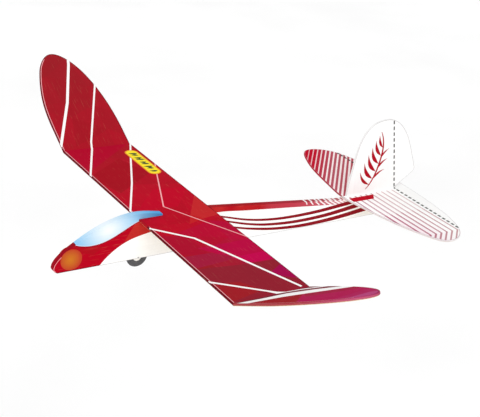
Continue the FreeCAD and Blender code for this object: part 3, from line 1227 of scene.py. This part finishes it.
def tailplane_art():
    """Right half red with pale slanting stripes, left half white with thin bent lines."""
    patches = [
        (EVERYWHERE, left_tail_tint),
        ([(-56.75, -3), (-90, -3), (-90, 130), (-56.75, 130)], flat_ink(inks().white)),
        ([(9, -1), (9, -130), (-90, -130), (-90, -19), (-57, -16), (-48, -1)], right_tail_red),
    ]
    for i in range(-TAIL_ROOT_STRIPES, TAIL_STRIPES):
        v = -1.5 - i * TAIL_STRIPE_PITCH
        share = max(0, i) / (TAIL_STRIPES - 1)
        pale = mix(ink("#fbecec"), ink("#d8506c"), max(0.0, 1.6 * share - 0.6))
        front = min(8, (-1.2 - v) / TAIL_SLANT) if i < 0 else 8
        line = [(front, v + front * TAIL_SLANT), (-80, v - 80 * TAIL_SLANT)]
        patches.append((ribbon(line, 1.9 - 1.35 * share), flat_ink(pale)))
    for i in range(TAIL_LINES):
        u = -5.0 - i * TAIL_LINE_PITCH
        tone = between(
            [(0, ink("#b05272")), (2, ink("#b4657e")), (5, ink("#bf858f")), (9, ink("#cba5a8"))], i
        )
        faint = mix(tone, tuple(inks().white), 0.3)
        width = 2.0 - 0.07 * i
        patches.append((ribbon([(u, 2.6), (u - 0.5, 45)], width), flat_ink(faint)))
        line = [(u - 0.5, 44.9), (u - 1.5, LINE_BEND), (u + 23.5, LINE_BEND + 25)]
        patches.append((ribbon(line, [width, width, width * 0.8]), flat_ink(tone)))
    bar = [(-2.5, 5.0), (-29.5, 5.0), (-24.5, 12.6), (-2.5, 12.6)]
    patches.append((bar, flat_ink(ink("#b8001f"))))
    return patches


def clear_of_fold(joint_name, to_sheet):
    """Keeps the edges of a sheet that are away from its fold."""
    hinge = joint(joint_name)
    spot = (to_sheet @ Vector(hinge["pos_m"])).xy
    along = (to_sheet.to_3x3() @ Vector(hinge["axis"])).xy.normalized()

    def keep(a, b):
        return max(abs((a - spot).cross(along)), abs((b - spot).cross(along))) > 0.6

    return keep


def pale_rim(middle, normal):
    if normal.z < -0.35:
        return BARE
    if middle.y < -2 and normal.z > -0.3:
        return mix(right_tail_red((0, middle.y)), tuple(inks().maroon), 0.4)
    return mix(tuple(inks().white), ink("#a8848e"), 0.45 if normal.x > 0.2 else 0.25)


FEATHER_STEM = [(-20.5, 4.0), (-24.5, 8.5), (-29, 17), (-32.2, 28), (-33.8, 40), (-32.5, 50), (-29.5, 57)]
# Feather strokes off the stem: (foot, head, how far it bows, greatest width).
FEATHER_STROKES = [
    ((-24.0, 8.0), (-12.0, 21.5), -2.4, 2.6),
    ((-26.6, 13.5), (-15.5, 29.5), -2.6, 3.3),
    ((-29.2, 20.0), (-18.8, 37.0), -2.6, 3.5),
    ((-31.2, 27.0), (-22.0, 43.5), -2.4, 3.4),
    ((-32.6, 34.5), (-25.0, 49.5), -2.0, 3.1),
    ((-33.2, 42.0), (-28.2, 54.0), -1.4, 2.5),
    ((-27.6, 13.0), (-39.0, 21.0), -1.4, 1.9),
    ((-30.6, 22.0), (-40.5, 31.0), -1.4, 2.0),
    ((-32.4, 31.5), (-41.0, 40.5), -1.2, 1.7),
]


def leaf(foot, head, bow, width):
    """A tapered stroke that bows to one side."""
    a, b = Vector(foot), Vector(head)
    along = b - a
    across = Vector((-along.y, along.x)).normalized()
    line, widths = [], []
    for i in range(13):
        t = i / 12
        line.append(tuple(a + along * t + across * bow * math.sin(math.pi * t)))
        widths.append(0.12 + width * math.sin(math.pi * t ** 0.8) ** 1.3)
    return ribbon(line, widths)


def fin_art():
    """White, with a plain red feather up its middle."""
    red = flat_ink(ink("#b00a22"))
    patches = [(EVERYWHERE, flat_ink(inks().white))]
    for foot, head, bow, width in FEATHER_STROKES:
        patches.append((leaf(foot, head, bow, width), red))
    stem = smooth(FEATHER_STEM, 5)
    widths = [0.5 + 1.3 * math.sin(math.pi * (i + 1) / (len(stem) + 1)) for i in range(len(stem))]
    patches.append((ribbon(stem, widths), red))
    return patches


def fin_rim(middle, normal):
    if normal.y < -0.9:
        return BARE
    return mix(tuple(inks().white), tuple(inks().outline), 0.3)


class GLIDER_OT_tail(Operator):
    """Printed skins for the stabiliser, elevator, fin and rudder"""

    bl_idname = "glider.tail"
    bl_label = "Tail surfaces"

    def execute(self, context):
        spanwise = printed_balsa("printed_balsa_spanwise", SPANWISE)
        upright = printed_balsa("printed_balsa_upright", UPRIGHT)
        art = tailplane_art()
        origin = Vector((STAB_HIGH.x, 0, STAB_HIGH.z))
        for node, body in (("stabiliser", "airframe"), ("elevator", "elevator")):
            sheet = Sheet(node, origin, X, Y)
            keep = clear_of_fold("elevator_fold", sheet.to_row.inverted())
            line = ink("#a77f8c") if node == "stabiliser" else inks().outline
            edge = band(sheet.outline(0.0), 0.0, 0.3, keep, flat_ink(line))
            sheet.paint(0.0, 1, art + edge, grid=6.0)
            sheet.paint_rest([0.0], pale_rim)
            sheet.finish(node + "_skin", spanwise, body, "printed_balsa_tail")
        art = fin_art()
        origin = Vector((FIN_HIGH.x, 0, STAB_HIGH.z))
        for node, body in (("fin", "airframe"), ("rudder", "rudder")):
            sheet = Sheet(node, origin, X, Z)
            fold = clear_of_fold("rudder_fold", sheet.to_row.inverted())
            for sign in (1, -1):
                edge = band(
                    sheet.outline(sign * HALF_FIN),
                    0.0,
                    0.3,
                    lambda a, b: fold(a, b) and max(a.y, b.y) > 0.1,
                    flat_ink(inks().outline),
                )
                sheet.paint(sign * HALF_FIN, sign, art + edge)
            sheet.paint_rest([HALF_FIN, -HALF_FIN], fin_rim)
            sheet.finish(node + "_skin", upright, body, "printed_balsa_tail")
        return {"FINISHED"}


# ---- folds --------------------------------------------------------------------------------
SKIN_REACH = 0.55      # mm: the uncut surface fibres run this far each side of the fold
SKIN_T = 0.05


def dash_tree():
    """Geometry Nodes: a row of thin bars along a line."""
    tree = bpy.data.node_groups.new("Row of dashes", "GeometryNodeTree")
    face = tree.interface
    face.new_socket("Geometry", in_out="OUTPUT", socket_type="NodeSocketGeometry")
    for name, kind in (
        ("Start", "NodeSocketVector"),
        ("End", "NodeSocketVector"),
        ("Pitch", "NodeSocketFloat"),
        ("Bar", "NodeSocketVector"),
        ("Up", "NodeSocketVector"),
        ("Ink", "NodeSocketMaterial"),
    ):
        face.new_socket(name, in_out="INPUT", socket_type=kind)
    given = add(tree, "NodeGroupInput").outputs
    line = add(
        tree, "GeometryNodeCurvePrimitiveLine", {"Start": given["Start"], "End": given["End"]}
    )
    spaced = add(
        tree,
        "GeometryNodeResampleCurve",
        {"Curve": line.outputs[0], "Length": given["Pitch"]},
        mode="LENGTH",
    )
    bar = add(
        tree,
        "GeometryNodeMeshCube",
        {"Size": given["Bar"], "Vertices X": 2, "Vertices Y": 7, "Vertices Z": 2},
    )
    tangent = add(tree, "GeometryNodeInputTangent")
    along = add(
        tree,
        "FunctionNodeAlignRotationToVector",
        {"Vector": tangent.outputs[0]},
        axis="X",
    )
    upright = add(
        tree,
        "FunctionNodeAlignRotationToVector",
        {"Rotation": along.outputs[0], "Vector": given["Up"]},
        axis="Z",
        pivot_axis="X",
    )
    placed = add(
        tree,
        "GeometryNodeInstanceOnPoints",
        {"Points": spaced.outputs[0], "Instance": bar.outputs["Mesh"], "Rotation": upright.outputs[0]},
    )
    real = add(tree, "GeometryNodeRealizeInstances", {"Geometry": placed.outputs[0]})
    inked = add(
        tree, "GeometryNodeSetMaterial", {"Geometry": real.outputs[0], "Material": given["Ink"]}
    )
    add(tree, "NodeGroupOutput", {"Geometry": inked.outputs[0]})
    return tree


def dashes(tree, start, end, up, width):
    """The row as a plain mesh."""
    holder = bpy.data.objects.new("dash_row", bpy.data.meshes.new("dash_row"))
    bpy.context.scene.collection.objects.link(holder)
    modifier = holder.modifiers.new("Dashes", "NODES")
    modifier.node_group = tree
    names = {item.name: item.identifier for item in tree.interface.items_tree}
    size = sizes()
    values = {
        "Start": start,
        "End": end,
        "Pitch": size.dash_pitch,
        "Bar": Vector((size.dash, width, SKIN_T * MM)),
        "Up": up,
        "Ink": fold_ink(),
    }
    for name, value in values.items():
        modifier[names[name]] = value
    seen = bpy.context.evaluated_depsgraph_get()
    mesh = bpy.data.meshes.new_from_object(holder.evaluated_get(seen))
    bpy.data.objects.remove(holder)
    return mesh


def fibre_strip(start, end, across, up, colour_at):
    """The skin of uncut fibres over the score, closed, with steps across it so that it bends."""
    bm = bmesh.new()
    layer = bm.loops.layers.float_color.new("print")
    steps, length = 8, (end - start).length
    along = max(1, round(length / (1.5 * MM)))
    rows = []
    for height in (0.5, -0.5):
        for i in range(steps + 1):
            shift = across * SKIN_REACH * MM * (2 * i / steps - 1) + up * height * SKIN_T * MM
            rows.append([bm.verts.new(start.lerp(end, j / along) + shift) for j in range(along + 1)])
    ring = rows[:steps + 1] + rows[:steps:-1]
    for a, b in zip(ring, [*ring[1:], ring[0]]):
        for j in range(along):
            bm.faces.new((a[j], b[j], b[j + 1], a[j + 1]))
    for i in range(steps):
        top, low = rows[i], rows[steps + 1 + i]
        top_next, low_next = rows[i + 1], rows[steps + 2 + i]
        bm.faces.new((top[0], low[0], low_next[0], top_next[0]))
        bm.faces.new((top[-1], top_next[-1], low_next[-1], low[-1]))
    bmesh.ops.recalc_face_normals(bm, faces=bm.faces)
    for face in bm.faces:
        colour = colour_at(face.calc_center_median())
        for loop in face.loops:
            loop[layer] = colour
    mesh = bpy.data.meshes.new("fibres")
    bm.to_mesh(mesh)
    bm.free()
    return mesh


def fold_ends(node, origin, axis, away):
    """Where the moving piece's cut edge starts and ends along the fold's axis."""
    near = []
    for vertex in frame["nodes"][node].data.vertices:
        offset = vertex.co - origin
        if abs(offset.dot(away)) < 0.3 * MM:
            near.append(offset.dot(axis))
    return origin + axis * (min(near) + 0.4 * MM), origin + axis * (max(near) - 0.4 * MM)


class GLIDER_OT_folds(Operator):
    """Scored folds: a skin of fibres with printed dashes over each hinge line"""

    bl_idname = "glider.folds"
    bl_label = "Folds"

    def execute(self, context):
        tree = dash_tree()
        tail_origin = Vector((STAB_HIGH.x, 0, STAB_HIGH.z))
        tail_art = tailplane_art()

        def tail_ink(spot):
            flat = ((spot - tail_origin) / MM).xy
            return ink_at(tail_art, flat)

        for name, moving, ups, half in (
            ("elevator_fold", "elevator", (Z,), STAB_T / 2),
            ("rudder_fold", "rudder", (Y, -Y), HALF_FIN),
        ):
            hinge = joint(name)
            origin, axis = Vector(hinge["pos_m"]), Vector(hinge["axis"]).normalized()
            away = axis.cross(ups[0]).normalized()
            away = away if away.x < 0 else -away
            start, end = fold_ends(moving, origin, axis, away)
            bm = bmesh.new()
            for up in ups:
                lift = up * (half + SKIN_T * 0.2) * MM
                look = tail_ink if moving == "elevator" else lambda spot: tuple(inks().white)
                strips = [fibre_strip(start + lift, end + lift, away, up, look)]
                lift = up * (half + SKIN_T * 0.9) * MM
                inset = axis * sizes().dash * 0.6
                width = sizes().elevator_dash if moving == "elevator" else sizes().rudder_dash
                strips.append(dashes(tree, start + lift + inset, end + lift - inset, up, width))
                for number, mesh in enumerate(strips):
                    count = len(bm.faces)
                    bm.from_mesh(mesh)
                    bm.faces.ensure_lookup_table()
                    for face in bm.faces[count:]:
                        face.material_index = number
                    bpy.data.meshes.remove(mesh)
            mesh = bpy.data.meshes.new(name)
            bm.to_mesh(mesh)
            bm.free()
            wood = ("spanwise", SPANWISE) if moving == "elevator" else ("upright", UPRIGHT)
            mesh.materials.append(printed_balsa("printed_balsa_" + wood[0], wood[1]))
            mesh.materials.append(fold_ink())
            made = bpy.data.objects.new(name + "_skin", mesh)
            bpy.context.scene.collection.objects.link(made)
            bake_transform(made)
        return {"FINISHED"}


# ---- stickers -----------------------------------------------------------------------------
BADGE_MARKS = 9


def disc_art(radius):
    """Orange in the middle, ember red at the edge."""
    orange, ember = tuple(inks().orange), tuple(inks().ember)
    stops = [
        (0.05, orange),
        (0.45, mix(orange, ember, 0.35)),
        (0.8, mix(orange, ember, 0.75)),
        (1.0, ember),
    ]

    def paint(p):
        return between(stops, math.hypot(p[0] + 0.8, p[1] - 0.2) / radius)

    return [(EVERYWHERE, paint)]


def pill(length, width, steps=12):
    """Outline of a rounded bar along v."""
    straight, r = (length - width) / 2, width / 2
    outline = []
    for end in (1, -1):
        for i in range(steps + 1):
            turn = math.pi * i / steps
            outline.append((end * r * math.cos(turn), end * (straight + r * math.sin(turn))))
    return outline


def badge_art(length, width):
    """Orange rim, yellow field, and a plain row of slanted green bars."""
    patches = [
        (EVERYWHERE, flat_ink(ink("#ef9a1e"))),
        (pill(length - 2.2, width - 2.2), flat_ink(tuple(inks().yellow))),
    ]
    run = length - 1.25 * width
    for i in range(BADGE_MARKS):
        v = run * (i / (BADGE_MARKS - 1) - 0.5)
        tall = (4.2, 3.0, 3.6)[i % 3]
        mark = leaf((-tall, v + 0.9), (tall, v - 0.9), 0.9 - 1.8 * (i % 2), 3.0)
        patches.append((mark, flat_ink(ink("#24451a"))))
    return patches


class GLIDER_OT_stickers(Operator):
    """Paper discs over the nose ballast and the pill-shaped badge on the wing"""

    bl_idname = "glider.stickers"
    bl_label = "Stickers"

    def execute(self, context):
        paper = printed_paper()
        radius = (DISC_HIGH.x - DISC_LOW.x) / 2 / MM
        for node, sign in (("nose_disc_left", 1), ("nose_disc_right", -1)):
            low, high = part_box(node)
            middle = (low + high) / 2
            middle.y = high.y if sign > 0 else low.y
            # X and Z turned so that the sheet's w points out of this side
            sheet = Sheet(node, middle, X * -sign, Z)
            sheet.paint(0.0, 1, disc_art(radius), grid=1.2)
            sheet.paint_rest([0.0], lambda m, n: tuple(inks().ember))
            sheet.finish(node + "_label", paper, "airframe", "orange_paper")
        middle = (BADGE_LOW + BADGE_HIGH) / 2
        middle.z = BADGE_HIGH.z
        length = (BADGE_HIGH.y - BADGE_LOW.y) / MM
        width = (BADGE_HIGH.x - BADGE_LOW.x) / MM
        sheet = Sheet("wing_badge", middle, X, Y)
        sheet.paint(0.0, 1, badge_art(length, width))
        sheet.paint_rest([0.0], lambda m, n: ink("#e07f18"))
        sheet.finish("wing_badge_label", paper, "airframe", "yellow_paper")
        return {"FINISHED"}


# ---- wheel --------------------------------------------------------------------------------
def turned(name, profile, material, body, slot, *nodes, segments=96):
    """A piece turned about the axle; profile is a closed loop of (radius, across) in mm."""
    bm = bmesh.new()
    rings = []
    for i in range(segments):
        turn = 2 * math.pi * i / segments
        out = X * math.cos(turn) + Z * math.sin(turn)
        rings.append([bm.verts.new(AXLE + (out * r + Y * y) * MM) for r, y in profile])
    for a, b in zip(rings, [*rings[1:], rings[0]]):
        for i in range(len(profile)):
            j = (i + 1) % len(profile)
            bm.faces.new((a[i], a[j], b[j], b[i]))
    bmesh.ops.remove_doubles(bm, verts=bm.verts, dist=1e-7)
    bmesh.ops.recalc_face_normals(bm, faces=bm.faces)
    for face in bm.faces:
        face.smooth = True
    mesh = bpy.data.meshes.new(name)
    bm.to_mesh(mesh)
    bm.free()
    mesh.set_sharp_from_angle(angle=math.radians(35))
    mesh.materials.append(material)
    made = bpy.data.objects.new(name, mesh)
    bpy.context.scene.collection.objects.link(made)
    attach(made, body)
    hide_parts(*nodes)
    return made


def mirrored(side):
    """A closed profile from its points on the +Y side, listed from the rim inwards."""
    return side + [(r, -y) for r, y in reversed(side)]


class GLIDER_OT_wheel(Operator):
    """Rubber tyre, moulded hub and wire axle"""

    bl_idname = "glider.wheel"
    bl_label = "Wheel"

    def execute(self, context):
        outer = (TYRE_HIGH.x - TYRE_LOW.x) / 2 / MM
        half = (TYRE_HIGH.y - TYRE_LOW.y) / 2 / MM
        hub = (HUB_HIGH.x - HUB_LOW.x) / 2 / MM
        boss = (HUB_HIGH.y - HUB_LOW.y) / 2 / MM
        wire = (AXLE_HIGH.x - AXLE_LOW.x) / 2 / MM
        reach = (AXLE_HIGH.y - AXLE_LOW.y) / 2 / MM
        bore = wire + 0.05
        shoulder = [
            (outer - 0.7 * (1 - math.cos(math.radians(a))), half - 0.7 + 0.7 * math.sin(math.radians(a)))
            for a in range(0, 91, 15)
        ]
        side = [(outer, 0.12), (outer - 0.06, 0.14), *shoulder[1:]]
        side += [(outer - 1.6, half), (outer - 1.75, half - 0.12), (outer - 2.05, half - 0.12),
                 (outer - 2.2, half), (hub + 0.5, half), (hub + 0.25, half - 0.1), (hub, half - 0.15)]
        turned("tyre_ring", mirrored(side), foam_rubber(), "wheel", "grey_rubber", "tyre")
        side = [(hub, half - 0.2), (hub - 0.15, half - 0.05), (hub - 0.5, half - 0.05),
                (hub - 0.65, half - 0.35), (1.75, half - 0.35), (1.6, half - 0.1), (1.5, boss - 0.12),
                (1.38, boss), (bore + 0.12, boss), (bore, boss - 0.1)]
        turned("hub_disc", mirrored(side), moulded_plastic(), "wheel", "white_plastic", "wheel_hub")
        side = [(wire, reach - 0.18), (wire * 0.8, reach - 0.05), (wire * 0.4, reach), (0.0, reach)]
        turned("axle_wire", mirrored(side), drawn_steel(), "airframe", "steel_wire", "axle", segments=32)
        frame["nodes"]["nose_weight"].material_slots[0].material = drawn_steel()
        return {"FINISHED"}


# ---- stage --------------------------------------------------------------------------------
class GLIDER_OT_stage(Operator):
    """Pale floor far below, soft light all round, and the camera"""

    bl_idname = "glider.stage"
    bl_label = "Stage"

    def execute(self, context):
        scene = context.scene
        scene.view_settings.view_transform = "Standard"
        material, tree = new_material("pale_floor_paint")
        place = add(tree, "ShaderNodeTexCoord").outputs["Object"]
        cloud = add(tree, "ShaderNodeTexNoise", {"Vector": place, "Scale": 1.5}).outputs["Fac"]
        colour = add(
            tree,
            "ShaderNodeValToRGB",
            {"Fac": cloud},
            stops=[(0.3, ink("#f6f6f6")), (0.7, ink("#fcfcfc"))],
        ).outputs["Color"]
        shader = add(
            tree,
            "ShaderNodeBsdfPrincipled",
            {
                "Base Color": colour,
                "Roughness": 0.95,
                "Specular IOR Level": 0.1,
                "Emission Color": (1, 1, 1, 1),
                "Emission Strength": 0.05,
            },
        ).outputs[0]
        add(tree, "ShaderNodeOutputMaterial", {"Surface": shader})
        bm = bmesh.new()
        bmesh.ops.create_grid(bm, x_segments=4, y_segments=4, size=30.0)
        bmesh.ops.translate(bm, verts=bm.verts, vec=(0, 0, -1.2))
        mesh = bpy.data.meshes.new("floor")
        bm.to_mesh(mesh)
        bm.free()
        mesh.materials.append(material)
        floor = bpy.data.objects.new("floor", mesh)
        scene.collection.objects.link(floor)
        world = bpy.data.worlds.new("white_room")
        world.use_nodes = True
        world.node_tree.nodes["Background"].inputs["Color"].default_value = (1, 1, 1, 1)
        world.node_tree.nodes["Background"].inputs["Strength"].default_value = 0.5
        scene.world = world
        for name, place, spread, power in (
            ("key", (0.25, 0.55, 0.80), 50, 1.2),
            ("fill", (0.55, -0.60, 0.55), 70, 0.9),
            ("side", (0.35, 0.92, 0.10), 60, 0.8),
        ):
            lamp = bpy.data.lights.new(name, "SUN")
            lamp.angle = math.radians(spread)
            lamp.energy = power
            holder = bpy.data.objects.new(name, lamp)
            holder.location = place
            holder.rotation_mode = "QUATERNION"
            holder.rotation_quaternion = (-Vector(place)).to_track_quat("-Z", "Y")
            scene.collection.objects.link(holder)
        lens = bpy.data.cameras.new("camera")
        lens.lens = 83.86
        camera = bpy.data.objects.new("camera", lens)
        azimuth, elevation, roll = (math.radians(a) for a in (145.824, 24.573, 6.0))
        back = Vector(
            (
                math.sin(azimuth) * math.cos(elevation),
                -math.cos(azimuth) * math.cos(elevation),
                math.sin(elevation),
            )
        )
        right = Vector((math.cos(azimuth), math.sin(azimuth), 0))
        up = back.cross(right)
        right, up = (
            right * math.cos(roll) + up * math.sin(roll),
            up * math.cos(roll) - right * math.sin(roll),
        )
        camera.rotation_mode = "QUATERNION"
        camera.rotation_quaternion = Matrix((right, up, back)).transposed().to_quaternion()
        camera.location = DATUM + Vector((374.5, 690.4, 374.5)) * MM
        scene.collection.objects.link(camera)
        scene.camera = camera
        return {"FINISHED"}


class GLIDER_PT_panel(Panel):
    """Lists the glider's pieces in the sidebar"""

    bl_idname = "GLIDER_PT_panel"
    bl_label = "Balsa hand glider"
    bl_space_type = "VIEW_3D"
    bl_region_type = "UI"
    bl_category = "Glider"

    def draw(self, context):
        for group in (context.scene.glider_inks, context.scene.glider_sizes):
            for name in group.__annotations__:
                self.layout.prop(group, name)
        for operator in OPERATORS:
            self.layout.operator(operator.bl_idname)


GROUPS = (GliderInks, GliderSizes)
OPERATORS = (
    GLIDER_OT_wing,
    GLIDER_OT_fuselage,
    GLIDER_OT_tail,
    GLIDER_OT_folds,
    GLIDER_OT_stickers,
    GLIDER_OT_wheel,
    GLIDER_OT_stage,
)


def register():
    for made in (*GROUPS, *OPERATORS, GLIDER_PT_panel):
        bpy.utils.register_class(made)
    bpy.types.Scene.glider_inks = PointerProperty(type=GliderInks)
    bpy.types.Scene.glider_sizes = PointerProperty(type=GliderSizes)


def unregister():
    del bpy.types.Scene.glider_sizes
    del bpy.types.Scene.glider_inks
    for made in reversed((*GROUPS, *OPERATORS, GLIDER_PT_panel)):
        bpy.utils.unregister_class(made)


def main():
    register()
    for operator in OPERATORS:
        group, name = operator.bl_idname.split(".")
        getattr(getattr(bpy.ops, group), name)()


if __name__ == "__main__":
    main()
